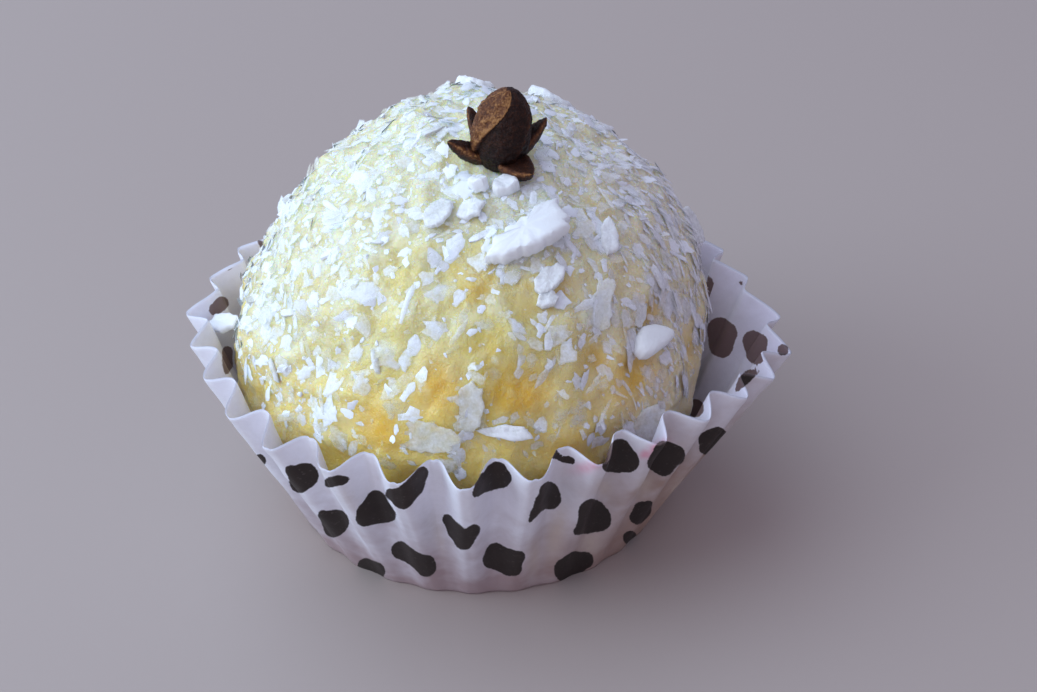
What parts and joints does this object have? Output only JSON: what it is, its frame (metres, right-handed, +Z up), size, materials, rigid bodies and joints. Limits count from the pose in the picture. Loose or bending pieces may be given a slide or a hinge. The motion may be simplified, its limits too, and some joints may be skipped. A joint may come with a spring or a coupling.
{
  "type": "beijinho",
  "caption": "Soft coconut sweet: a pale paste ball rolled in coconut flakes, a clove pressed in its top, standing in a pleated paper case with dark spots.",
  "frame": {"origin": "middle of the flat underside of the paper case", "axes": "+Z up, -Z out of the underside; +X to the viewer's right; the viewer of the picture stands on the -Y side"},
  "size_m": [0.0361, 0.0345, 0.029],
  "materials": {
    "coconut_paste": "moist pale yellow paste under white coconut flakes",
    "clove_brown": "dry wrinkled dark brown",
    "paper": "thin greaseproof paper, white with dark brown printed spots"
  },
  "bodies": {
    "root": {"sweet_ball": "coconut_paste", "clove": "clove_brown", "paper_case": "paper"}
  },
  "joints": []
}
